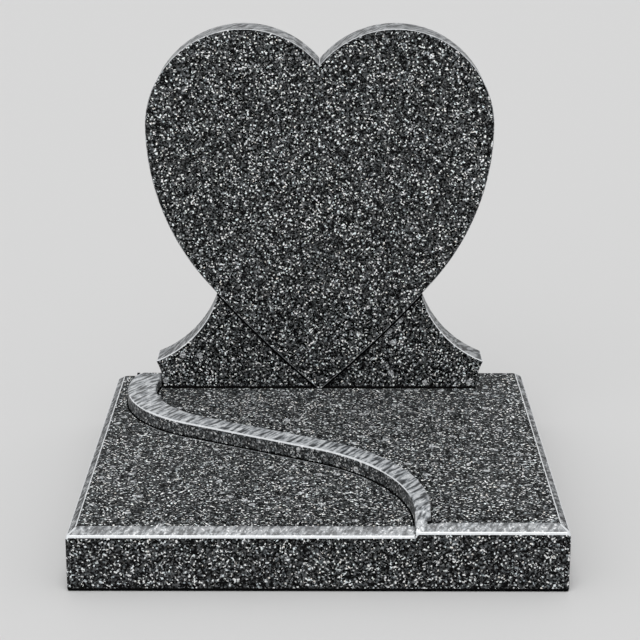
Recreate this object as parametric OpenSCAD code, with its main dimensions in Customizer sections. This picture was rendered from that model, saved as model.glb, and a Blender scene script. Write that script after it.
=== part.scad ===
// Heart headstone on a square bevelled base, in granite.
// Front faces -Y, up is +Z, and the origin is on the ground under the middle of the base.

/* [Base] */
// Overall width of the base, left to right
base_width = 610; // [580:5:760]
// Overall depth of the base, front to back
base_depth = 610; // [600:5:760]
// Height of the lower field above the ground
base_height = 80; // [40:1:120]
// How much higher the upper field stands than the lower one
field_step = 5; // [2:1:10]
// Width of the bevel round the top, in plan
bevel_width = 13; // [6:1:20]
// Drop of the bevel, in height
bevel_drop = 9; // [4:1:14]

/* [Raised strip] */
// Rise of the strip above the lower field
strip_rise = 20; // [14:1:34]
// Distance of the strip's outer edge right of centre, at the front
strip_nose_offset = 117; // [70:1:135]
// Width of the strip at its nose
strip_nose_width = 20; // [14:1:26]
// Length that the outer edge runs straight back from the front
strip_nose_run_outer = 20; // [10:1:30]
// Length that the inner edge runs straight back from the front
strip_nose_run_inner = 45; // [35:1:55]
// Depth at which the outer edge of the slanting run crosses the centre line
strip_cross_depth = 227; // [190:1:250]
// Slant of the straight run from the front edge, in degrees
strip_slant = 29; // [25:1:33]
// Width of the strip along its slanting run
strip_run_width = 36; // [28:1:44]
// Distance of the strip's outer edge from the base's left side, at the back bend
strip_side_margin = 28; // [20:1:36]
// Width of the strip at the back bend
strip_bend_width = 41; // [36:1:46]
// Radius of the back bend along the outer edge
strip_bend_radius_outer = 185; // [165:1:205]
// Radius of the back bend along the inner edge
strip_bend_radius_inner = 160; // [145:1:175]
// Depth at which the strip ends beside the left wing
strip_end_depth = 548; // [535:1:560]
// Slope of the strip's nose, in degrees
nose_slope = 45; // [38:1:55]
// Turn of the nose's slope toward the left, in degrees
nose_turn = 14; // [6:1:22]

/* [Heart] */
// Overall width of the heart
heart_width = 492; // [470:2:560]
// Height of the heart above its seat
heart_height = 526; // [480:2:630]
// Thickness of the heart slab
heart_thickness = 64; // [56:1:64]
// Radius of each of the two lobes
lobe_radius = 139; // [130:1:150]
// Radius of the flank below the widest point
flank_radius = 345; // [320:5:370]
// Radius of the easier curve from the flank to the tip
tip_radius = 1650; // [1300:50:2000]
// How far the point is sunk below the seat before it is cut flat
tip_sink = 1.5; // [1:0.5:4]
// Depth of the heart's front face behind the base's front
heart_depth = 521; // [519:1:533]

/* [Wings] */
// Span over both wings at the foot
wing_span = 458; // [440:2:470]
// Height of the wing's outer corner above the seat
wing_corner_height = 41; // [30:1:50]
// Radius of the hollow end of the wing
wing_end_radius = 87; // [75:1:110]
// Depth of the hollow in the wing's top
wing_top_hollow = 16.5; // [8:0.5:22]
// Height above the seat at which the wing's top meets the heart
wing_meet_height = 144; // [124:1:148]
// Thickness of the wings
wing_thickness = 52; // [40:1:54]

/* [Fits] */
// How far the heart's face stands in front of the wings
heart_proud = 4; // [2:1:8]
// Width of the joint between the heart and each wing
joint_gap = 0.5; // [0.3:0.1:1.5]
// Gap between the end of the left wing and the strip beside it
strip_wing_gap = 2; // [1:0.5:4]

/* [Hidden] */
$fn = 240;
granite = [0.26, 0.27, 0.28];
honed = [0.34, 0.35, 0.36];
front = -base_depth / 2;
seat = base_height + field_step;
cover = base_width + base_depth;       // longer than any cut has to reach
overlap = bevel_drop * 2;              // how far a raised part is rooted in the slab

// Plan of the strip. Its straight run has the normal run_n, pointing right and back.
run_n = [sin(180 - strip_slant), -cos(180 - strip_slant)];
outer_line = run_n * [0, front + strip_cross_depth];
inner_line = outer_line + strip_run_width;
outer_bend_x = -base_width / 2 + strip_side_margin;
inner_bend_x = outer_bend_x + strip_bend_width;
strip_end = front + strip_end_depth;

// Centre and radius of the nose arc: straight ahead at x, y, and then tangent to the line.
function nose_radius(x, y, line) = (line - run_n * [x, y]) / (1 - run_n[0]);
function nose_centre(x, y, line) = [x - nose_radius(x, y, line), y];
// Centre of the back bend: tangent to the line, with its leftmost point at x.
function bend_centre(x, r, line) = [x + r, (line + r - run_n[0] * (x + r)) / run_n[1]];

// Outline of the heart, above its seat. The flank arc leaves the widest point straight down, and
// meets the tip arc smoothly at the ease point. The tip arc passes through the tip.
lobe_x = heart_width / 2 - lobe_radius;
lobe_z = heart_height - lobe_radius;
flank_centre = [heart_width / 2 - flank_radius, lobe_z];
to_tip = [0, -tip_sink] - flank_centre;
centre_shift = tip_radius - flank_radius;
ease_share = (pow(tip_radius, 2) - pow(centre_shift, 2) - pow(norm(to_tip), 2)) / (2 * centre_shift);
ease_turn = atan2(-to_tip[1], to_tip[0]) - acos(ease_share / norm(to_tip));
ease_out = [cos(ease_turn), -sin(ease_turn)];
ease = flank_centre + flank_radius * ease_out;
tip_centre = flank_centre - centre_shift * ease_out;
function arc_x(c, r, z) = c[0] + sqrt(pow(r, 2) - pow(z - c[1], 2));
function flank_x(z) = z < ease[1] ? arc_x(tip_centre, tip_radius, z) : arc_x(flank_centre, flank_radius, z);

// Outline of a wing. Its hollow top passes through the outer corner and the meeting point.
wing_end_x = wing_span / 2 + wing_end_radius;
corner = [wing_end_x - sqrt(pow(wing_end_radius, 2) - pow(wing_corner_height, 2)), wing_corner_height];
meet = [flank_x(wing_meet_height), wing_meet_height];
top_chord = corner - meet;
top_mid = (corner + meet) / 2;
top_normal = [-top_chord[1], top_chord[0]] / norm(top_chord);
wing_top_radius = (pow(norm(top_chord) / 2, 2) + pow(wing_top_hollow, 2)) / (2 * wing_top_hollow);
top_centre = top_mid + top_normal * (wing_top_radius - wing_top_hollow);
wing_front = front + heart_depth + heart_proud;
strip_over_seat = strip_rise - field_step;
wing_side = wing_end_x - sqrt(pow(wing_end_radius, 2) - pow(strip_over_seat, 2));

// A slab with the base's outline and a bevel round its top.
module bevelled_slab(top) {
    difference() {
        translate([-base_width / 2, front, 0]) cube([base_width, base_depth, top]);
        for (side = [0 : 3]) {
            reach = side % 2 == 0 ? base_depth / 2 : base_width / 2;
            rotate([0, 0, 90 * side])
                translate([-cover / 2, -reach, top])
                rotate([90, 0, 90])
                linear_extrude(height = cover)
                polygon([[-bevel_width, -bevel_drop * 2], [bevel_width, 0],
                         [bevel_width, bevel_drop], [-bevel_width, bevel_drop]]);
        }
    }
}

// Everything right of and behind one edge of the strip, in plan.
module field_plan(x, y, line, bend_x, bend_r) {
    nose_r = nose_radius(x, y, line);
    nose_c = nose_centre(x, y, line);
    bend_c = bend_centre(bend_x, bend_r, line);
    leave = nose_c + nose_r * run_n;
    arrive = bend_c - bend_r * run_n;
    finish = [bend_c[0] - sqrt(pow(bend_r, 2) - pow(strip_end - bend_c[1], 2)), strip_end];
    difference() {
        polygon([[x, front], [x, y], leave, arrive, bend_c, finish, [finish[0], -front],
                 [base_width / 2, -front], [base_width / 2, front]]);
        translate(nose_c) circle(r = nose_r);
    }
    intersection() {
        translate(bend_c) circle(r = bend_r);
        polygon([bend_c, arrive, arrive - cover * run_n, [-cover, strip_end], finish]);
    }
}

module outer_field() {
    field_plan(strip_nose_offset, front + strip_nose_run_outer, outer_line,
               outer_bend_x, strip_bend_radius_outer);
}

module inner_field() {
    field_plan(strip_nose_offset + strip_nose_width, front + strip_nose_run_inner, inner_line,
               inner_bend_x, strip_bend_radius_inner);
}

// The raised strip. Its nose is cut by a slope that starts at the front edge of the upper field.
module strip() {
    difference() {
        translate([0, 0, base_height - overlap])
            linear_extrude(height = overlap + strip_rise)
            difference() {
                outer_field();
                inner_field();
                translate([-cover, strip_end]) square([2 * cover, cover]);
                translate([-wing_side - strip_wing_gap, wing_front - strip_wing_gap])
                    square([cover, cover]);
            }
        translate([strip_nose_offset, front, seat - bevel_drop])
            rotate([0, 0, nose_turn])
            rotate([nose_slope, 0, 0])
            translate([-cover, -cover, 0])
            cube([2 * cover, 2 * cover, cover]);
    }
}

module base() {
    color(honed) {
        bevelled_slab(base_height);
        intersection() {
            bevelled_slab(seat);
            translate([0, 0, base_height - overlap])
                linear_extrude(height = overlap + field_step) outer_field();
        }
        strip();
    }
}

// The part below the height top of two arcs that mirror each other.
module arc_pair(centre, r, top) {
    intersection() {
        translate([-cover, -cover]) square([2 * cover, cover + top]);
        translate(centre) circle(r = r);
        translate([-centre[0], centre[1]]) circle(r = r);
    }
}

// Lower body of the heart, widened all round by grow, so that a wing can be cut to fit it.
// The flank arcs lie inside the tip arcs, which take over below the ease point.
module heart_body(grow) {
    arc_pair(flank_centre, flank_radius + grow, lobe_z);
    arc_pair(tip_centre, tip_radius + grow, ease[1]);
}

module heart_outline() {
    difference() {
        union() {
            heart_body(0);
            for (side = [-1, 1])
                translate([side * lobe_x, lobe_z]) circle(r = lobe_radius);
        }
        translate([-cover, -cover]) square([2 * cover, cover]);
    }
}

module wing_outline() {
    difference() {
        square([wing_end_x, wing_meet_height]);
        translate(top_centre) circle(r = wing_top_radius);
        translate([wing_end_x, 0]) circle(r = wing_end_radius);
        heart_body(joint_gap);
    }
}

// Stands a drawn outline on the seat, with its front face at the depth y.
module stand(y, thickness) {
    translate([0, y + thickness, seat]) rotate([90, 0, 0]) linear_extrude(height = thickness) children();
}

module heart_stone() {
    color(granite) stand(front + heart_depth, heart_thickness) heart_outline();
}

module right_wing() {
    color(granite) stand(wing_front, wing_thickness) wing_outline();
}

module left_wing() {
    color(granite) mirror([1, 0, 0]) stand(wing_front, wing_thickness) wing_outline();
}

base();
heart_stone();
left_wing();
right_wing();
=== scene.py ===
# %% [markdown]
# # A heart headstone in polished granite
# The part arrives as exact solids: a square base with a raised strip, a heart slab and two wings.
# Here each stone is made again with softly rounded arrises, a painted highlight on those that face up, and
# a granite finish, in the same frame.

# %% Load the frame
import math

import bmesh
import bpy
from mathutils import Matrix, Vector


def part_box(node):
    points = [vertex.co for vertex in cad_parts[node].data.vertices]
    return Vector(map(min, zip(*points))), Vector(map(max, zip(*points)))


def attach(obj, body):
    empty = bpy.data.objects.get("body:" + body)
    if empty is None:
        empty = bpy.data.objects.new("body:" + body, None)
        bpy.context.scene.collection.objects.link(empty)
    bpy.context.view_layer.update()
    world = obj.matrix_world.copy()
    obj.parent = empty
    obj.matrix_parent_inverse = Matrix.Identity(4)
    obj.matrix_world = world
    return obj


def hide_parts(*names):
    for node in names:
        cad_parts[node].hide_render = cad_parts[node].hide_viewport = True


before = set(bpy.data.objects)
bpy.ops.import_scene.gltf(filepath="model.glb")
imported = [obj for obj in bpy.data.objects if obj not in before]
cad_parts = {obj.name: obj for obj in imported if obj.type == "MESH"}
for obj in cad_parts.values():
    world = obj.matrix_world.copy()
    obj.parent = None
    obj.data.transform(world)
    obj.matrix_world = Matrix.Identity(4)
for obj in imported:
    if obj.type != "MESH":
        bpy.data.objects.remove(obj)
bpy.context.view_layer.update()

print("nodes:", sorted(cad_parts))

# %% [markdown]
# ## Sizes
# All lengths are in metres. What the boxes of the solids can tell is read from them, and the radii
# of the curves are repeated here from the part's own sizes.

# %% Sizes read from the solids
MM = 0.001
base_low, base_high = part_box("base")
heart_low, heart_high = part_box("heart_stone")
wing_low, wing_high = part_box("right_wing")
FRONT = base_low.y
SEAT = wing_low.z
FIELD_STEP = 5 * MM
FIELD = SEAT - FIELD_STEP
STRIP_TOP = base_high.z
print("seat", round(SEAT, 4), "field", round(FIELD, 4), "strip top", round(STRIP_TOP, 4))

# %% Radii and fits of the part
LOBE_RADIUS = 139 * MM
FLANK_RADIUS = 345 * MM
TIP_RADIUS = 1650 * MM
TIP_SINK = 1.5 * MM
WING_FOOT = 229 * MM
WING_CORNER = 41 * MM
WING_END_RADIUS = 87 * MM
WING_MEET = 144 * MM
WING_HOLLOW = 16.5 * MM
JOINT = 0.5 * MM
print("joint", JOINT, "wing foot", WING_FOOT)

# %% Widths of the worn arrises, the beads and the band of painted contact shade
ARRIS = 1.1 * MM
BASE_ARRIS = 3.0 * MM
WING_ARRIS = 2.6 * MM
BEAD = 3.0 * MM
HOLLOW_SHADE_BEAD = 2.1 * MM
CONTACT_SHADE_TOP = 4.5 * MM
BEVEL_RUN = 8 * MM
print("arrises", ARRIS, WING_ARRIS, BASE_ARRIS, "beads", BEAD, HOLLOW_SHADE_BEAD)

# %% [markdown]
# ## Arcs that meet
# The mason sets the outline out with a few arcs. The flank and the tip arc touch smoothly, which
# fixes the turn at which one takes over from the other. Two circles that cross give the corners.

# %% Setting-out helpers
def crossing(c1, r1, c2, r2, pick):
    """The crossing of two circles for which pick(point) is larger."""
    gap = c2 - c1
    d = gap.length
    along = (d * d + r1 * r1 - r2 * r2) / (2 * d)
    across = math.sqrt(r1 * r1 - along * along)
    u = gap / d
    v = Vector((-u.y, u.x))
    return max((c1 + u * along + v * across, c1 + u * along - v * across), key=pick)


def bearing(centre, point):
    """The angle of a point seen from a centre, in radians."""
    return math.atan2(point.y - centre.y, point.x - centre.x)


# %% The heart's arcs, with x to the right and y up from the seat
half_heart = (heart_high.x - heart_low.x) / 2
heart_height = heart_high.z - SEAT
lobe_centre = Vector((half_heart - LOBE_RADIUS, heart_height - LOBE_RADIUS))
flank_centre = Vector((half_heart - FLANK_RADIUS, lobe_centre.y))
to_tip = Vector((0, -TIP_SINK)) - flank_centre
shift = TIP_RADIUS - FLANK_RADIUS
share = (TIP_RADIUS ** 2 - shift ** 2 - to_tip.length ** 2) / (2 * shift)
ease_turn = math.atan2(-to_tip.y, to_tip.x) - math.acos(share / to_tip.length)
ease_out = Vector((math.cos(ease_turn), -math.sin(ease_turn)))
tip_centre = flank_centre - ease_out * shift
cleft_turn = math.pi - math.acos(lobe_centre.x / LOBE_RADIUS)
tip_flat_x = tip_centre.x + math.sqrt(TIP_RADIUS ** 2 - tip_centre.y ** 2)
tip_turn = bearing(tip_centre, Vector((tip_flat_x, 0)))
print("flank eases after", round(math.degrees(ease_turn), 1), "degrees")

# %% The wing's arcs
end_centre = Vector((WING_FOOT + WING_END_RADIUS, 0))
corner_x = end_centre.x - math.sqrt(WING_END_RADIUS ** 2 - WING_CORNER ** 2)
corner = Vector((corner_x, WING_CORNER))
meet_x = tip_centre.x + math.sqrt(TIP_RADIUS ** 2 - (WING_MEET - tip_centre.y) ** 2)
meet = Vector((meet_x, WING_MEET))
chord = corner - meet
hollow_radius = ((chord.length / 2) ** 2 + WING_HOLLOW ** 2) / (2 * WING_HOLLOW)
chord_normal = Vector((-chord.y, chord.x)).normalized()
hollow_centre = (corner + meet) / 2 + chord_normal * (hollow_radius - WING_HOLLOW)
joint_radius = TIP_RADIUS + JOINT
wing_tip = crossing(tip_centre, joint_radius, hollow_centre, hollow_radius, lambda p: -p.x)
toe_x = tip_centre.x + math.sqrt(joint_radius ** 2 - tip_centre.y ** 2)
toe = Vector((toe_x, 0))
print("wing from", round(toe.x, 4), "to", round(corner.x, 4), "top", round(wing_tip.y, 4))

# %% [markdown]
# ## Granite
# The stone is a packing of small crystals: black mica, grey feldspar and pale quartz, with a few
# larger pale crystals scattered through it. Random cells give each crystal one tone, because a real
# crystal is one mineral with a hard edge. The pattern sits in the stone itself, so it runs round
# every arris as it does when a block is sawn. Polished and honed surfaces, and those with a painted
# highlight or painted shade, show the same crystals, so the crystals are one node group that the
# materials share.

# %% Node helpers
def group(name, inputs, outputs):
    """An empty shader node group with named sockets."""
    tree = bpy.data.node_groups.new(name, "ShaderNodeTree")
    for label, kind, value in inputs:
        socket = tree.interface.new_socket(name=label, in_out="INPUT", socket_type="NodeSocket" + kind)
        if value is not None:
            socket.default_value = value
    for label, kind in outputs:
        tree.interface.new_socket(name=label, in_out="OUTPUT", socket_type="NodeSocket" + kind)
    return tree, tree.nodes.new("NodeGroupInput"), tree.nodes.new("NodeGroupOutput")


def math_node(tree, operation, a, b=None, clamp=False):
    """A Math node whose inputs are sockets or numbers. Returns its output."""
    node = tree.nodes.new("ShaderNodeMath")
    node.operation = operation
    node.use_clamp = clamp
    for index, value in enumerate((a, b)):
        if value is None:
            continue
        if isinstance(value, (int, float)):
            node.inputs[index].default_value = value
        else:
            tree.links.new(value, node.inputs[index])
    return node.outputs[0]


def mix_colour(tree, factor, a, b, blend="MIX"):
    """A colour Mix node. Returns its output."""
    node = tree.nodes.new("ShaderNodeMix")
    node.data_type = "RGBA"
    node.blend_type = blend
    for socket, value in zip((node.inputs[0], node.inputs[6], node.inputs[7]), (factor, a, b)):
        if isinstance(value, (int, float, tuple)):
            socket.default_value = value
        else:
            tree.links.new(value, socket)
    return node.outputs[2]


def ramp(tree, value, stops):
    """A colour ramp with (position, colour) stops. Returns its colour."""
    node = tree.nodes.new("ShaderNodeValToRGB")
    elements = node.color_ramp.elements
    while len(elements) < len(stops):
        elements.new(0.5)
    for element, (position, colour) in zip(elements, stops):
        element.position = position
        element.color = (*colour, 1)
    tree.links.new(value, node.inputs[0])
    return node.outputs[0]


def cells(tree, vector, size):
    """Random cells of about a size in metres. Returns the node."""
    node = tree.nodes.new("ShaderNodeTexVoronoi")
    node.inputs["Scale"].default_value = 1 / size
    tree.links.new(vector, node.inputs["Vector"])
    return node


def noise(tree, vector, size, detail=2.0):
    """Soft noise with features of about a size in metres. Returns the node."""
    node = tree.nodes.new("ShaderNodeTexNoise")
    node.inputs["Scale"].default_value = 1 / size
    node.inputs["Detail"].default_value = detail
    tree.links.new(vector, node.inputs["Vector"])
    return node


def grey(value, cool=0.03):
    """A slightly cool grey."""
    return (value * (1 - cool), value, value * (1 + cool))


# %% The crystals
CRYSTAL = 2.05 * MM
CHIP = 1.2 * MM
MICA = 2.1 * MM
LARGE_CRYSTAL = 13 * MM
CLOUD = 22 * MM
EDGE_WOBBLE = 2.2 * MM
EDGE_BEND = 1.0 * MM

crystals, group_in, group_out = group(
    "granite_crystals",
    [("Coordinates", "Vector", None)],
    [("Colour", "Color"), ("Grain", "Float")],
)
position = group_in.outputs["Coordinates"]


def vector_math(tree, operation, vector):
    """A Vector Math node with its first input linked."""
    node = tree.nodes.new("ShaderNodeVectorMath")
    node.operation = operation
    tree.links.new(vector, node.inputs[0])
    return node


# Soft noise, centred on zero, bends the edges between the cells.
wobble = noise(crystals, position, EDGE_WOBBLE, 1.0)
centred = vector_math(crystals, "SUBTRACT", wobble.outputs["Color"])
centred.inputs[1].default_value = (0.5, 0.5, 0.5)
scaled = vector_math(crystals, "SCALE", centred.outputs[0])
scaled.inputs["Scale"].default_value = EDGE_BEND
added = vector_math(crystals, "ADD", position)
crystals.links.new(scaled.outputs[0], added.inputs[1])
bent = added.outputs[0]

main_cells = cells(crystals, bent, CRYSTAL)
chip_cells = cells(crystals, bent, CHIP)
mica_cells = cells(crystals, bent, MICA)
large_cells = cells(crystals, bent, LARGE_CRYSTAL)
cloud = noise(crystals, position, CLOUD, 2.0).outputs["Fac"]


def channel(tree, colour, name):
    """One channel of a colour."""
    node = tree.nodes.new("ShaderNodeSeparateColor")
    tree.links.new(colour, node.inputs[0])
    return node.outputs[name]


print("crystal cells:", CRYSTAL, CHIP, MICA, LARGE_CRYSTAL)

# %% The minerals
CLUSTER = 0.16
MICA_SHARE = 0.30
LARGE_ABOVE = 0.93
LARGE_REACH = 0.35
CHIP_SHARE = 0.16
MINERAL_TONES = [
    (0.00, grey(0.002)),
    (0.16, grey(0.006)),
    (0.32, grey(0.026)),
    (0.50, grey(0.060)),
    (0.68, grey(0.100)),
    (0.82, grey(0.180)),
    (0.88, grey(0.500)),
    (0.93, grey(1.000, 0.0)),
]
MINERAL_TINTS = [
    (0.0, (0.90, 1.00, 1.04)),
    (0.35, (1.0, 1.0, 1.0)),
    (0.70, (1.0, 1.0, 1.0)),
    (0.86, (0.94, 1.02, 1.0)),
    (1.0, (1.08, 1.0, 0.92)),
]
LARGE_TONES = [(0.0, grey(0.18)), (0.5, grey(0.36)), (1.0, grey(0.80))]
MICA_BLACK = (*grey(0.002), 1)

main_random = channel(crystals, main_cells.outputs["Color"], "Red")
main_tint = channel(crystals, main_cells.outputs["Color"], "Green")
chip_random = channel(crystals, chip_cells.outputs["Color"], "Blue")
large_random = channel(crystals, large_cells.outputs["Color"], "Green")

# Neighbours lean the same way in patches, so the tones gather into loose clusters.
lean = math_node(crystals, "MULTIPLY", math_node(crystals, "SUBTRACT", cloud, 0.5), CLUSTER)
tone = math_node(crystals, "ADD", main_random, lean, clamp=True)
mineral = ramp(crystals, tone, MINERAL_TONES)
tint = ramp(crystals, main_tint, MINERAL_TINTS)
tinted = mix_colour(crystals, 1.0, mineral, tint, "MULTIPLY")

# Flakes of black mica lie over the paler crystals.
mica_random = channel(crystals, mica_cells.outputs["Color"], "Red")
mica = math_node(crystals, "LESS_THAN", mica_random, MICA_SHARE)
with_mica = mix_colour(crystals, mica, tinted, MICA_BLACK)

# A large crystal shows in about one large cell in fourteen, with chips of the darker stone in it.
chosen = math_node(crystals, "GREATER_THAN", large_random, LARGE_ABOVE)
edge = math_node(crystals, "LESS_THAN", large_cells.outputs["Distance"], LARGE_REACH)
broken = math_node(crystals, "GREATER_THAN", chip_random, CHIP_SHARE)
large_mask = math_node(crystals, "MULTIPLY", math_node(crystals, "MULTIPLY", chosen, edge), broken)
large_colour = ramp(crystals, main_random, LARGE_TONES)
with_large = mix_colour(crystals, large_mask, with_mica, large_colour)
crystals.links.new(with_large, group_out.inputs["Colour"])
crystals.links.new(main_random, group_out.inputs["Grain"])
print("crystal group:", len(crystals.nodes), "nodes")

# %% [markdown]
# ## Surface finishes
# Polish leaves the crystals dark and clear under a thin gloss. Honing scatters light, so the same
# stone turns pale, and fine tool marks run through it. The arris faces that tilt up take the palest
# colour of all, a painted highlight, and some faces take a darker copy of their finish as painted
# shade. Each finish is the same two node groups with other numbers, and its shader stays in its own
# material.

# %% Honing marks
STREAK = 5.0 * MM
STREAK_STRETCH = 5.0
STREAK_TURN = math.radians(58)
STREAK_TONES = [(0.41, grey(0.10)), (0.50, grey(0.55)), (0.57, grey(1.0, 0.0))]
CRYSTAL_GAIN = (2.2, 2.2, 2.2, 1)
CRYSTAL_CEILING = (0.75, 0.75, 0.75, 1)
honing, group_in, group_out = group(
    "honing_marks",
    [
        ("Coordinates", "Vector", None),
        ("Colour", "Color", (0.05, 0.05, 0.05, 1)),
        ("Pale", "Color", (0.4, 0.4, 0.4, 1)),
        ("Amount", "Float", 0.6),
        ("Streaks", "Float", 0.5),
    ],
    [("Colour", "Color"), ("Height", "Float")],
)
streak_map = honing.nodes.new("ShaderNodeMapping")
streak_map.vector_type = "TEXTURE"
streak_map.inputs["Rotation"].default_value = (0, 0, STREAK_TURN)
streak_map.inputs["Scale"].default_value = (STREAK_STRETCH, 1.0, 1.0)
honing.links.new(group_in.outputs["Coordinates"], streak_map.inputs["Vector"])
streaks = noise(honing, streak_map.outputs[0], STREAK, 3.0).outputs["Fac"]
streak_tone = ramp(honing, streaks, STREAK_TONES)
lit = mix_colour(honing, 1.0, group_in.outputs["Colour"], CRYSTAL_GAIN, "MULTIPLY")
softened = mix_colour(honing, 1.0, lit, CRYSTAL_CEILING, "DARKEN")
pale = mix_colour(honing, group_in.outputs["Amount"], softened, group_in.outputs["Pale"])
scored = mix_colour(honing, 1.0, pale, streak_tone, "MULTIPLY")
marked = mix_colour(honing, group_in.outputs["Streaks"], pale, scored)
honing.links.new(marked, group_out.inputs["Colour"])
honing.links.new(streaks, group_out.inputs["Height"])
print("honing group:", len(honing.nodes), "nodes")

# %% The materials
BUMP_STRENGTH = 0.5
STONE_IOR = 1.5


def granite_material(name, pale, amount, streak, roughness, rough_swing, bump, shine, shade=1.0):
    """A granite finish: crystals, honed pale by an amount, with a roughness that follows the grain. A shade
    below one darkens the colour as painted shade.
    """
    material = bpy.data.materials.new(name)
    material.use_nodes = True
    tree = material.node_tree
    shader = tree.nodes["Principled BSDF"]
    place = tree.nodes.new("ShaderNodeTexCoord")
    stone = tree.nodes.new("ShaderNodeGroup")
    stone.node_tree = crystals
    tree.links.new(place.outputs["Object"], stone.inputs["Coordinates"])
    colour = stone.outputs["Colour"]
    height = stone.outputs["Grain"]
    if amount > 0:
        marks = tree.nodes.new("ShaderNodeGroup")
        marks.node_tree = honing
        tree.links.new(place.outputs["Object"], marks.inputs["Coordinates"])
        tree.links.new(colour, marks.inputs["Colour"])
        marks.inputs["Pale"].default_value = (*grey(pale), 1)
        marks.inputs["Amount"].default_value = amount
        marks.inputs["Streaks"].default_value = streak
        colour = marks.outputs["Colour"]
        height = marks.outputs["Height"]
    # Painted shade: the whole colour is darkened by the shade.
    if shade < 1.0:
        colour = mix_colour(tree, 1.0, colour, (*grey(shade, 0), 1), "MULTIPLY")
    tree.links.new(colour, shader.inputs["Base Color"])
    swing = math_node(tree, "MULTIPLY", stone.outputs["Grain"], rough_swing)
    tree.links.new(math_node(tree, "ADD", swing, roughness), shader.inputs["Roughness"])
    bumps = tree.nodes.new("ShaderNodeBump")
    bumps.inputs["Distance"].default_value = bump
    bumps.inputs["Strength"].default_value = BUMP_STRENGTH
    tree.links.new(height, bumps.inputs["Height"])
    tree.links.new(bumps.outputs[0], shader.inputs["Normal"])
    shader.inputs["IOR"].default_value = STONE_IOR
    shader.inputs["Specular IOR Level"].default_value = shine
    return material


polish = {
    "pale": 0.30, "amount": 0.0, "streak": 0.0, "roughness": 0.12, "rough_swing": 0.10,
    "bump": 0.02 * MM, "shine": 0.06,
}
polished = granite_material("polished_granite", **polish)
# Painted shade: the base's sides are the polished stone darkened, not another finish.
shaded = granite_material("base_side_painted_shade", **polish, shade=0.84)
field = granite_material(
    "field_granite", pale=0.30, amount=0.0, streak=0.0,
    roughness=0.34, rough_swing=0.10, bump=0.03 * MM, shine=0.01,
)
honed = granite_material(
    "honed_granite", pale=0.74, amount=0.42, streak=0.80,
    roughness=0.28, rough_swing=0.14, bump=0.10 * MM, shine=0.40,
)
streaked = granite_material(
    "streaked_granite", pale=0.78, amount=0.62, streak=1.0,
    roughness=0.30, rough_swing=0.10, bump=0.10 * MM, shine=0.30,
)
rim = granite_material(
    "rim_granite", pale=0.48, amount=0.62, streak=1.0,
    roughness=0.34, rough_swing=0.16, bump=0.12 * MM, shine=0.20,
)
wall = granite_material(
    "wall_granite", pale=0.30, amount=0.10, streak=0.7,
    roughness=0.30, rough_swing=0.10, bump=0.04 * MM, shine=0.10,
)
# Side bevels: real honing marks, with a darker tone than the front bevels that is painted shade.
side_bevel_marks_and_shade = granite_material(
    "side_bevel_marks_and_painted_shade", pale=0.42, amount=0.40, streak=1.0,
    roughness=0.34, rough_swing=0.16, bump=0.08 * MM, shine=0.10,
)
# Painted highlight: this pale, glossy finish goes only on arris faces that tilt up, for the light they
# catch.
arris_highlight = granite_material(
    "arris_painted_highlight", pale=0.84, amount=0.80, streak=0.0,
    roughness=0.20, rough_swing=0.06, bump=0.03 * MM, shine=1.0,
)
STONES = (polished, shaded, field, honed, streaked, rim, wall, side_bevel_marks_and_shade, arris_highlight)
print("materials:", [material.name for material in STONES])

# %% The dark joint compound, also used as painted shade on the base
COMPOUND_AND_SHADE_GRAIN = 1.5 * MM
COMPOUND_AND_SHADE_TONES = [(0.3, grey(0.002)), (0.7, grey(0.007))]
# The same near-black serves the real joints between the stones and the painted shade in the base's hollows
# and along its foot.
compound_and_shade = bpy.data.materials.new("joint_compound_and_painted_shade")
compound_and_shade.use_nodes = True
dark_shader = compound_and_shade.node_tree.nodes["Principled BSDF"]
dark_place = compound_and_shade.node_tree.nodes.new("ShaderNodeTexCoord")
dark_noise = noise(compound_and_shade.node_tree, dark_place.outputs["Object"], COMPOUND_AND_SHADE_GRAIN)
dark_colour = ramp(compound_and_shade.node_tree, dark_noise.outputs["Fac"], COMPOUND_AND_SHADE_TONES)
compound_and_shade.node_tree.links.new(dark_colour, dark_shader.inputs["Base Color"])
dark_shader.inputs["Roughness"].default_value = 0.6
dark_shader.inputs["Specular IOR Level"].default_value = 0.0
print("filler:", compound_and_shade.name)

# %% [markdown]
# ## Slabs cut from arcs
# The heart and the wings are sawn from slabs of one thickness, and each outline is three arcs and a
# short straight foot. A Geometry Nodes tree sets the arcs out, closes them, and gives the outline
# its thickness, so a changed radius changes the stone. Bevel then rounds the arrises a little.

# %% Tree helpers
ARRIS_SEGMENTS = 3
FLAT_WEIGHT = 90
SHARP_TURN = 24
BASE_SHARP_TURN = 12


def geometry_tree(name, inputs):
    """An empty Geometry Nodes tree with named inputs."""
    tree = bpy.data.node_groups.new(name, "GeometryNodeTree")
    tree.interface.new_socket(name="Geometry", in_out="INPUT", socket_type="NodeSocketGeometry")
    for label, kind in inputs:
        tree.interface.new_socket(name=label, in_out="INPUT", socket_type="NodeSocket" + kind)
    tree.interface.new_socket(name="Geometry", in_out="OUTPUT", socket_type="NodeSocketGeometry")
    return tree, tree.nodes.new("NodeGroupInput"), tree.nodes.new("NodeGroupOutput")


def node_of(tree, kind, values=None, **settings):
    """A node with its settings, and with inputs that are linked or fixed."""
    node = tree.nodes.new(kind)
    for key, value in settings.items():
        setattr(node, key, value)
    for label, value in (values or {}).items():
        socket = node.inputs[label]
        if hasattr(value, "is_output"):
            tree.links.new(value, socket)
        else:
            socket.default_value = value
    return node


def grow(name, tree, values, source=None):
    """Runs a tree on an object and returns a plain mesh object. The modifiers are gone."""
    mesh = source if source else bpy.data.meshes.new(name + "_seed")
    seed = bpy.data.objects.new(name, mesh)
    bpy.context.scene.collection.objects.link(seed)
    modifier = seed.modifiers.new("stone", "NODES")
    modifier.node_group = tree
    for item in tree.interface.items_tree:
        if item.item_type == "SOCKET" and item.in_out == "INPUT" and item.name in values:
            modifier[item.identifier] = values[item.name]
    return bake(seed)


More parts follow.
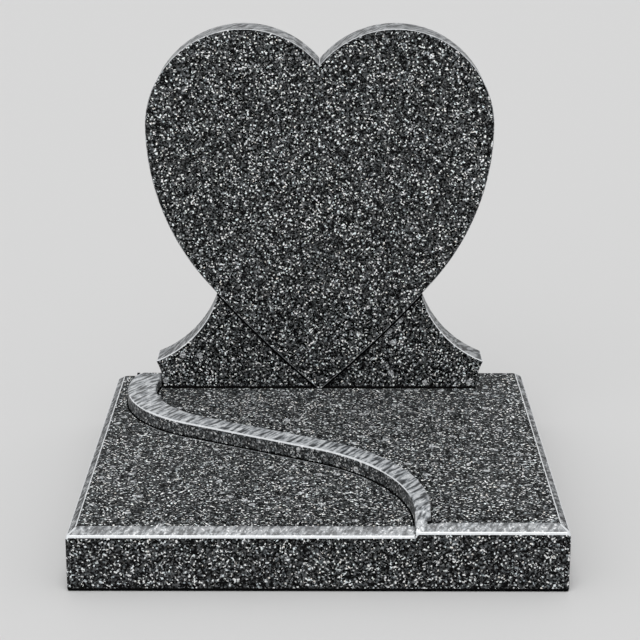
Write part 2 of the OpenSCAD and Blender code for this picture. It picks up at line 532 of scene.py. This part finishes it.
def bake(seed, bevel=0.0, bevel_material=0, limit=SHARP_TURN, clamp=True):
    """Adds worn arrises if asked, applies every modifier, and returns the plain object."""
    if bevel:
        round_off = seed.modifiers.new("arris", "BEVEL")
        round_off.width = bevel
        round_off.segments = ARRIS_SEGMENTS
        round_off.limit_method = "ANGLE"
        round_off.angle_limit = math.radians(limit)
        round_off.use_clamp_overlap = clamp
        round_off.material = bevel_material
        even = seed.modifiers.new("even", "WEIGHTED_NORMAL")
        even.keep_sharp = True
        even.weight = FLAT_WEIGHT
    depsgraph = bpy.context.evaluated_depsgraph_get()
    mesh = bpy.data.meshes.new_from_object(
        seed.evaluated_get(depsgraph), preserve_all_data_layers=True, depsgraph=depsgraph,
    )
    name = seed.name
    bpy.data.objects.remove(seed)
    piece = bpy.data.objects.new(name, mesh)
    bpy.context.scene.collection.objects.link(piece)
    return piece


# %% The slab tree
SHARED_POINT = 0.02 * MM
SEAM = 0.005 * MM
ARCS = ("First", "Second", "Third")
ARC_INPUTS = [
    ("Centre", "Vector"), ("Radius", "Float"), ("From", "Float"), ("To", "Float"), ("Steps", "Int"),
]
slab_inputs = [(f"{arc} {label}", kind) for arc in ARCS for label, kind in ARC_INPUTS]
slab_inputs += [("Foot Start", "Vector"), ("Foot End", "Vector")]
slab_inputs += [("Both Halves", "Bool"), ("Left Hand", "Bool")]
slab_inputs += [("Thickness", "Float"), ("Back", "Float"), ("Seat", "Float")]
slab_inputs += [("Face Finish", "Material"), ("Edge Finish", "Material")]
slab, slab_in, slab_out = geometry_tree("slab_from_arcs", slab_inputs)
given = slab_in.outputs


def arc_curve(prefix):
    """One arc of the outline."""
    sweep = node_of(slab, "ShaderNodeMath", operation="SUBTRACT")
    slab.links.new(given[prefix + " To"], sweep.inputs[0])
    slab.links.new(given[prefix + " From"], sweep.inputs[1])
    arc = node_of(slab, "GeometryNodeCurveArc", {
        "Resolution": given[prefix + " Steps"], "Radius": given[prefix + " Radius"],
        "Start Angle": given[prefix + " From"], "Sweep Angle": sweep.outputs[0],
    }, mode="RADIUS")
    moved = node_of(slab, "GeometryNodeTransform", {
        "Geometry": arc.outputs["Curve"], "Translation": given[prefix + " Centre"],
    })
    return moved.outputs[0]


foot = node_of(slab, "GeometryNodeCurvePrimitiveLine", {
    "Start": given["Foot Start"], "End": given["Foot End"],
})
half = node_of(slab, "GeometryNodeJoinGeometry")
for run in (*(arc_curve(arc) for arc in ARCS), foot.outputs[0]):
    slab.links.new(run, half.inputs[0])
wires = node_of(slab, "GeometryNodeCurveToMesh", {"Curve": half.outputs[0]})
other = node_of(slab, "GeometryNodeTransform", {"Geometry": wires.outputs[0], "Scale": (-1, 1, 1)})
both = node_of(slab, "GeometryNodeJoinGeometry")
slab.links.new(wires.outputs[0], both.inputs[0])
slab.links.new(other.outputs[0], both.inputs[0])
one_hand = node_of(slab, "GeometryNodeSwitch", {
    "Switch": given["Left Hand"], "False": wires.outputs[0], "True": other.outputs[0],
}, input_type="GEOMETRY")
chosen_wires = node_of(slab, "GeometryNodeSwitch", {
    "Switch": given["Both Halves"], "False": one_hand.outputs[0], "True": both.outputs[0],
}, input_type="GEOMETRY")
closed = node_of(slab, "GeometryNodeMergeByDistance", {
    "Geometry": chosen_wires.outputs[0], "Distance": SHARED_POINT,
})
outline = node_of(slab, "GeometryNodeMeshToCurve", {"Mesh": closed.outputs[0]})
filled = node_of(slab, "GeometryNodeFillCurve", {"Curve": outline.outputs[0]}, mode="NGONS")
raised = node_of(slab, "GeometryNodeExtrudeMesh", {
    "Mesh": filled.outputs[0], "Offset Scale": given["Thickness"], "Individual": False,
}, mode="FACES")
up = node_of(slab, "ShaderNodeCombineXYZ", {"X": 0.0, "Y": 0.0, "Z": 1.0})
slab.links.new(up.outputs[0], raised.inputs["Offset"])
back_face = node_of(slab, "GeometryNodeFlipFaces", {"Mesh": filled.outputs[0]})
face_set = node_of(slab, "GeometryNodeSetMaterial", {
    "Geometry": raised.outputs["Mesh"], "Material": given["Face Finish"],
})
edge_set = node_of(slab, "GeometryNodeSetMaterial", {
    "Geometry": face_set.outputs[0], "Selection": raised.outputs["Side"],
    "Material": given["Edge Finish"],
})
back_set = node_of(slab, "GeometryNodeSetMaterial", {
    "Geometry": back_face.outputs[0], "Material": given["Face Finish"],
})
shell = node_of(slab, "GeometryNodeJoinGeometry")
slab.links.new(edge_set.outputs[0], shell.inputs[0])
slab.links.new(back_set.outputs[0], shell.inputs[0])
sealed = node_of(slab, "GeometryNodeMergeByDistance", {
    "Geometry": shell.outputs[0], "Distance": SEAM,
})
stand_at = node_of(slab, "ShaderNodeCombineXYZ", {"Y": given["Back"], "Z": given["Seat"]})
stood = node_of(slab, "GeometryNodeTransform", {
    "Geometry": sealed.outputs[0], "Translation": stand_at.outputs[0], "Rotation": (math.pi / 2, 0, 0),
})
smooth = node_of(slab, "GeometryNodeSetShadeSmooth", {"Geometry": stood.outputs[0]})
real = node_of(slab, "GeometryNodeRealizeInstances", {"Geometry": smooth.outputs[0]})
slab.links.new(real.outputs[0], slab_out.inputs[0])
print("slab tree:", len(slab.nodes), "nodes")

# %% Cut the slabs
STEP_LENGTH = 6 * MM


def arc_values(prefix, centre, radius, start, end):
    """The five inputs of one arc, with steps of about one length."""
    steps = max(3, round(abs(end - start) * radius / STEP_LENGTH) + 1)
    return {
        prefix + " Centre": (centre.x, centre.y, 0.0), prefix + " Radius": radius,
        prefix + " From": start, prefix + " To": end, prefix + " Steps": steps,
    }


def cut_slab(name, arcs, foot_start, foot_end, box, both=False, left=False):
    """A stone from its arcs, its foot and the box of its solid."""
    low, high = box
    values = {
        "Foot Start": (foot_start.x, foot_start.y, 0.0), "Foot End": (foot_end.x, foot_end.y, 0.0),
        "Both Halves": both, "Left Hand": left, "Thickness": high.y - low.y, "Back": high.y,
        "Seat": SEAT, "Face Finish": polished, "Edge Finish": rim,
    }
    for prefix, arc in zip(ARCS, arcs):
        values.update(arc_values(prefix, *arc))
    return grow(name, slab, values)


heart_arcs = [
    (lobe_centre, LOBE_RADIUS, cleft_turn, 0.0),
    (flank_centre, FLANK_RADIUS, 0.0, -ease_turn),
    (tip_centre, TIP_RADIUS, -ease_turn, tip_turn),
]
heart = cut_slab(
    "heart_slab", heart_arcs, Vector((tip_flat_x, 0)), Vector((0, 0)), (heart_low, heart_high),
    both=True,
)
FULL_TURN = 2 * math.pi
hollow_from = bearing(hollow_centre, wing_tip) % FULL_TURN
hollow_to = bearing(hollow_centre, corner) % FULL_TURN
wing_arcs = [
    (tip_centre, joint_radius, bearing(tip_centre, toe), bearing(tip_centre, wing_tip)),
    (hollow_centre, hollow_radius, hollow_from, hollow_to),
    (end_centre, WING_END_RADIUS, bearing(end_centre, corner), math.pi),
]
wing_foot = Vector((WING_FOOT, 0))
wings = [
    cut_slab("right_wing_slab", wing_arcs, wing_foot, toe, (wing_low, wing_high)),
    cut_slab("left_wing_slab", wing_arcs, wing_foot, toe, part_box("left_wing"), left=True),
]
for piece in (heart, *wings):
    print(piece.name, len(piece.data.polygons), "faces", [m.name for m in piece.data.materials])

# %% [markdown]
# ## Worn arrises with a painted highlight
# A mason rubs each sharp edge so that it doesn't chip. Where the edge faces up it shows as a thin
# bright line of light, painted here as a pale colour, and elsewhere it keeps the finish beside it.
# Bevel makes the arris, and Weighted Normal keeps the flats flat beside it. The faces have to point
# outwards first.

# %% Round the arrises
CATCHES_LIGHT = 0.3
WELD = 0.01 * MM


def faces_up(face):
    """Whether a face of an arris leans up enough to take the painted highlight."""
    return face.normal.z >= CATCHES_LIGHT


def bevel_with_highlight(piece, width, plain, keep=faces_up, limit=SHARP_TURN, clamp=True):
    """Bakes a worn arris. The arris faces that are kept get the pale painted highlight, and the rest take a
    plain finish.
    """
    highlight_index = len(piece.data.materials)
    piece.data.materials.append(arris_highlight)
    stone = bake(piece, width, highlight_index, limit, clamp)
    for face in stone.data.polygons:
        if face.material_index == highlight_index and not keep(face):
            face.material_index = plain
    return stone


def finish_stone(piece, width, others):
    """Welds a stone, turns its faces outwards and rounds its arrises, with a painted highlight where they
    face up. Others is the finish of the rest.
    """
    mesh = piece.data
    shape = bmesh.new()
    shape.from_mesh(mesh)
    bmesh.ops.remove_doubles(shape, verts=shape.verts, dist=WELD)
    bmesh.ops.recalc_face_normals(shape, faces=shape.faces)
    open_edges = [e for e in shape.edges if len(e.link_faces) != 2]
    finishes = [material.name for material in mesh.materials]
    shape.to_mesh(mesh)
    shape.free()
    mesh.shade_smooth()
    stone = bevel_with_highlight(piece, width, finishes.index(others.name))
    print(stone.name, "open edges", len(open_edges), "faces", len(stone.data.polygons))
    return stone


heart = finish_stone(heart, ARRIS, rim)
wings = [finish_stone(piece, WING_ARRIS, polished) for piece in wings]

# %% [markdown]
# ## The base
# The base is one block: its raised strip and bevels are carved from it, so its exact solid is the
# best start. A copy is welded, its flats are made whole, and each face gets the finish of its place:
# a polished field, polished sides darkened with painted shade, honed front and back bevels, side
# bevels with tool marks and a darker painted shade, and a streaked strip top over a darker wall.
# A cut just above the floor marks off the lowest band, which is painted near-black as the contact
# shade under the base.

# %% How a face of the base is told from its place and its tilt
SHADED, HONED, SIDE_BEVEL_SHADE, FIELD_FINISH, STREAKED, WALL = range(6)
BASE_FINISHES = (shaded, honed, side_bevel_marks_and_shade, field, streaked, wall)
LEVEL = 0.98
FLAT_WALL = 0.2
BEVEL_TILT = 0.80
FACES_FRONT = 0.15
SIDE_RISE = 0.90
NOSE_RUN = 40 * MM
RIM_REACH = 20 * MM
ABOVE_SEAT = 1 * MM
print("finishes of the base:", [material.name for material in BASE_FINISHES])


def place_finish(face):
    """The finish of a face of the block."""
    middle = face.calc_center_median()
    tilt = abs(face.normal.z)
    on_strip = middle.z > SEAT + ABOVE_SEAT
    across = abs(face.normal.x) > abs(face.normal.y)
    if tilt >= LEVEL:
        return STREAKED if on_strip else FIELD_FINISH
    if tilt > FLAT_WALL:
        # Sideways bevels take the darker copy with painted shade.
        return SIDE_BEVEL_SHADE if across else STREAKED if on_strip else HONED
    # Vertical faces below the field are the base's sides, with painted shade.
    return WALL if middle.z > FIELD else SHADED


def catches_light(face):
    """The arris faces that take the painted highlight: the strip's top arris behind its nose, and the outer
    bevels' arrises with their mitres.
    """
    front, side, rise = -face.normal.y, abs(face.normal.x), face.normal.z
    if face.center.z > SEAT + BASE_ARRIS:
        behind_nose = face.center.y > FRONT + NOSE_RUN
        return rise >= CATCHES_LIGHT and front > FACES_FRONT and behind_nose
    at_side = abs(face.center.x) > base_high.x - RIM_REACH
    if at_side and side > FACES_FRONT:
        return CATCHES_LIGHT <= rise < SIDE_RISE
    at_front = abs(face.center.y) > base_high.y - 2 * BASE_ARRIS
    return at_front and front > FACES_FRONT and CATCHES_LIGHT <= rise < BEVEL_TILT


def arris_finish(face):
    """The finish of an arris face without the painted highlight: that of the stone beside it."""
    if face.center.z > SEAT + BASE_ARRIS:
        return STREAKED if face.normal.z > CATCHES_LIGHT else WALL
    if face.normal.z > CATCHES_LIGHT:
        return HONED if -face.normal.y > FACES_FRONT else FIELD_FINISH
    return SHADED


# %% Weld a copy of the base
BASE_WELD = 0.02 * MM
SAME_PLANE = math.radians(0.4)
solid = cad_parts["base"]
block_mesh = solid.data.copy()
block_mesh.materials.clear()
for material in BASE_FINISHES:
    block_mesh.materials.append(material)
shape = bmesh.new()
shape.from_mesh(block_mesh)
bmesh.ops.remove_doubles(shape, verts=shape.verts, dist=BASE_WELD)
bmesh.ops.dissolve_limit(shape, angle_limit=SAME_PLANE, verts=shape.verts, edges=shape.edges)
bmesh.ops.bisect_plane(
    shape, geom=[*shape.verts, *shape.edges, *shape.faces], plane_co=(0, 0, CONTACT_SHADE_TOP), plane_no=(0, 0, 1),
)
bmesh.ops.recalc_face_normals(shape, faces=shape.faces)
for face in shape.faces:
    face.material_index = place_finish(face)
    face.smooth = True
open_edges = [e for e in shape.edges if len(e.link_faces) != 2]
shape.to_mesh(block_mesh)
shape.free()
hollows_mesh = block_mesh.copy()
block = bpy.data.objects.new("base_block", block_mesh)
bpy.context.scene.collection.objects.link(block)

# %% Round the base's arrises and paint the contact shade along its foot
block = bevel_with_highlight(block, BASE_ARRIS, SHADED, catches_light, BASE_SHARP_TURN, clamp=False)
CONTACT_SHADE = len(block.data.materials)
block.data.materials.append(compound_and_shade)
for face in block.data.polygons:
    if face.material_index == SHADED:
        face.material_index = arris_finish(face)
    # Painted contact shade: the lowest band of the base takes the near-black compound.
    if face.center.z < CONTACT_SHADE_TOP:
        face.material_index = CONTACT_SHADE
print("base: open edges", len(open_edges), "faces", len(block.data.polygons))

# %% [markdown]
# ## The setting compound, and painted shade in the hollows
# The stones are bedded in a dark compound, and a thin line of it shows wherever one stone meets
# another. The base is one block, so the same dark bead where a wall meets a field is painted shade
# in its hollow edges. Geometry Nodes lays each bead along a path, because the path already exists:
# the joint's arc and foot for a wing, and the hollow edges of the base. The base's bead stops short
# of the outer bevels, so that it stays inside the stone's own outline.

# %% The bead along a wing
BEAD_STEPS = 24
BEAD_SIDES = 10
bead, bead_in, bead_out = geometry_tree("setting_bead", [
    ("Centre", "Vector"), ("Radius", "Float"), ("From", "Float"), ("To", "Float"), ("Foot Start", "Vector"),
    ("Foot End", "Vector"), ("Left Hand", "Bool"), ("Front", "Float"), ("Seat", "Float"),
    ("Bead", "Float"), ("Compound", "Material"),
])
given = bead_in.outputs
sweep = node_of(bead, "ShaderNodeMath", operation="SUBTRACT")
bead.links.new(given["To"], sweep.inputs[0])
bead.links.new(given["From"], sweep.inputs[1])
joint_arc = node_of(bead, "GeometryNodeCurveArc", {
    "Resolution": BEAD_STEPS, "Radius": given["Radius"], "Start Angle": given["From"],
    "Sweep Angle": sweep.outputs[0],
}, mode="RADIUS")
placed_arc = node_of(bead, "GeometryNodeTransform", {
    "Geometry": joint_arc.outputs["Curve"], "Translation": given["Centre"],
})
foot_line = node_of(bead, "GeometryNodeCurvePrimitiveLine", {
    "Start": given["Foot Start"], "End": given["Foot End"],
})
paths = node_of(bead, "GeometryNodeJoinGeometry")
bead.links.new(placed_arc.outputs[0], paths.inputs[0])
bead.links.new(foot_line.outputs[0], paths.inputs[0])
hand = node_of(bead, "GeometryNodeTransform", {"Geometry": paths.outputs[0], "Scale": (-1, 1, 1)})
sided = node_of(bead, "GeometryNodeSwitch", {
    "Switch": given["Left Hand"], "False": paths.outputs[0], "True": hand.outputs[0],
}, input_type="GEOMETRY")
stand_at = node_of(bead, "ShaderNodeCombineXYZ", {"Y": given["Front"], "Z": given["Seat"]})
stood = node_of(bead, "GeometryNodeTransform", {
    "Geometry": sided.outputs[0], "Translation": stand_at.outputs[0], "Rotation": (math.pi / 2, 0, 0),
})


def lay_bead(tree, given, path, tree_out):
    """Sweeps a round bead along a path and ends the tree."""
    ring = node_of(tree, "GeometryNodeCurvePrimitiveCircle", {
        "Resolution": BEAD_SIDES, "Radius": given["Bead"],
    })
    swept = node_of(tree, "GeometryNodeCurveToMesh", {
        "Curve": path, "Profile Curve": ring.outputs["Curve"], "Fill Caps": True,
    })
    real = node_of(tree, "GeometryNodeRealizeInstances", {"Geometry": swept.outputs[0]})
    coated = node_of(tree, "GeometryNodeSetMaterial", {
        "Geometry": real.outputs[0], "Material": given["Compound"],
    })
    tree.links.new(coated.outputs[0], tree_out.inputs[0])


lay_bead(bead, given, stood.outputs[0], bead_out)
beads = []
for side, front_face, left in (
    ("right", wing_low.y, False),
    ("left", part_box("left_wing")[0].y, True),
):
    beads.append(grow(side + "_wing_bead", bead, {
        "Centre": (tip_centre.x, tip_centre.y, 0.0), "Radius": joint_radius,
        "From": bearing(tip_centre, toe), "To": bearing(tip_centre, wing_tip),
        "Foot Start": (toe.x, 0.0, 0.0), "Foot End": (WING_FOOT, 0.0, 0.0), "Left Hand": left,
        "Front": front_face, "Seat": SEAT, "Bead": BEAD, "Compound": compound_and_shade,
    }))
print("wing beads:", [piece.name for piece in beads])

# %% The bead of painted shade in the hollows of the base
HOLLOW_TURN = -0.6
hollow_shade_bead, bead_in, bead_out = geometry_tree("hollow_shade_bead", [
    ("Bead", "Float"), ("Sharpest", "Float"), ("Reach", "Float"), ("Compound", "Material"),
])
given = bead_in.outputs
turn = node_of(hollow_shade_bead, "GeometryNodeInputMeshEdgeAngle")
inward = node_of(hollow_shade_bead, "FunctionNodeCompare", operation="LESS_THAN", data_type="FLOAT")
hollow_shade_bead.links.new(turn.outputs["Signed Angle"], inward.inputs[0])
hollow_shade_bead.links.new(given["Sharpest"], inward.inputs[1])
where = node_of(hollow_shade_bead, "ShaderNodeSeparateXYZ", {
    "Vector": node_of(hollow_shade_bead, "GeometryNodeInputPosition").outputs[0],
})
from_middle = math_node(hollow_shade_bead, "ABSOLUTE", where.outputs["Y"])
within = node_of(hollow_shade_bead, "FunctionNodeCompare", operation="LESS_THAN", data_type="FLOAT")
hollow_shade_bead.links.new(from_middle, within.inputs[0])
hollow_shade_bead.links.new(given["Reach"], within.inputs[1])
laid = node_of(hollow_shade_bead, "FunctionNodeBooleanMath", operation="AND")
hollow_shade_bead.links.new(inward.outputs[0], laid.inputs[0])
hollow_shade_bead.links.new(within.outputs[0], laid.inputs[1])
hollow_path = node_of(hollow_shade_bead, "GeometryNodeMeshToCurve", {
    "Mesh": given["Geometry"], "Selection": laid.outputs[0],
})
lay_bead(hollow_shade_bead, given, hollow_path.outputs[0], bead_out)
# Painted shade: the base is one block, so this dark bead in its hollow edges stands for the shade there,
# not a joint.
beads.append(grow("base_painted_shade_bead", hollow_shade_bead, {
    "Bead": HOLLOW_SHADE_BEAD, "Sharpest": HOLLOW_TURN, "Reach": base_high.y - BEVEL_RUN, "Compound": compound_and_shade,
}, hollows_mesh))
for piece in beads:
    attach(piece, "root")
    print(piece.name, len(piece.data.polygons), "faces")

# %% Attach the stones and hide their exact solids; the last name in each row is only printed
for piece, node, slot in (
    (block, "base", "base_granite"), (heart, "heart_stone", "heart_granite"),
    (wings[0], "right_wing", "wing_granite"), (wings[1], "left_wing", "wing_granite"),
):
    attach(piece, "root")
    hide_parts(node)
    print(piece.name, "stands for", node, "in", slot)

# %% [markdown]
# ## Floor, light and camera
# The floor is plain and pale. A soft overhead sky and two wide suns give a studio's even light.
# The camera stands a little above, looks down at the base, and takes in the whole stone.

# %% The floor
FLOOR_SIZE = 60.0
FLOOR_GREY = 0.62
FLOOR_ROUGHNESS = 0.7
floor_mesh = bpy.data.meshes.new("studio_floor")
reach = FLOOR_SIZE / 2
floor_corners = [(-reach, -reach, 0), (reach, -reach, 0), (reach, reach, 0), (-reach, reach, 0)]
floor_mesh.from_pydata(floor_corners, [], [(0, 1, 2, 3)])
floor = bpy.data.objects.new("studio_floor", floor_mesh)
bpy.context.scene.collection.objects.link(floor)
floor_look = bpy.data.materials.new("pale_floor")
floor_look.use_nodes = True
floor_shader = floor_look.node_tree.nodes["Principled BSDF"]
floor_shader.inputs["Base Color"].default_value = (*grey(FLOOR_GREY, 0), 1)
floor_shader.inputs["Roughness"].default_value = FLOOR_ROUGHNESS
floor_mesh.materials.append(floor_look)
print("floor:", FLOOR_SIZE, "m square")

# %% The light
SKY_STRENGTH = 0.62
world = bpy.data.worlds.new("studio_sky")
bpy.context.scene.world = world
world.use_nodes = True
sky = world.node_tree.nodes["Background"]
sky.inputs["Color"].default_value = (1, 1, 1, 1)
sky.inputs["Strength"].default_value = SKY_STRENGTH


def soft_sun(name, strength, elevation, azimuth, spread):
    """A wide soft light from a direction, with azimuth 0 in front and 90 on the right."""
    data = bpy.data.lights.new(name, "SUN")
    data.energy = strength
    data.angle = math.radians(spread)
    lamp = bpy.data.objects.new(name, data)
    bpy.context.scene.collection.objects.link(lamp)
    climb = math.radians(elevation)
    turn_right = math.radians(azimuth)
    level = math.cos(climb)
    toward = Vector((math.sin(turn_right) * level, -math.cos(turn_right) * level, math.sin(climb)))
    lamp.rotation_mode = "QUATERNION"
    lamp.rotation_quaternion = toward.to_track_quat("Z", "Y")
    return lamp


lamps = [
    soft_sun("overhead", strength=1.3, elevation=75, azimuth=0, spread=32),
    soft_sun("front_fill", strength=0.45, elevation=35, azimuth=-20, spread=60),
]
print("lights:", [lamp.name for lamp in lamps])

# %% The camera
CAMERA_AWAY = 2.109
CAMERA_ABOVE_FIELD = 0.889
CAMERA_RIGHT = 0.010
LENS = 106.4
SENSOR = 36
LOOK_DOWN = math.radians(16.5)
TURN_LEFT = math.radians(0.206)
camera_data = bpy.data.cameras.new("camera")
camera_data.lens = LENS
camera_data.sensor_width = SENSOR
camera = bpy.data.objects.new("camera", camera_data)
bpy.context.scene.collection.objects.link(camera)
camera.location = (CAMERA_RIGHT, FRONT - CAMERA_AWAY, FIELD + CAMERA_ABOVE_FIELD)
camera.rotation_euler = (math.pi / 2 - LOOK_DOWN, 0, TURN_LEFT)
bpy.context.scene.camera = camera
bpy.context.scene.view_settings.view_transform = "Standard"
print("camera at", [round(x, 3) for x in camera.location])
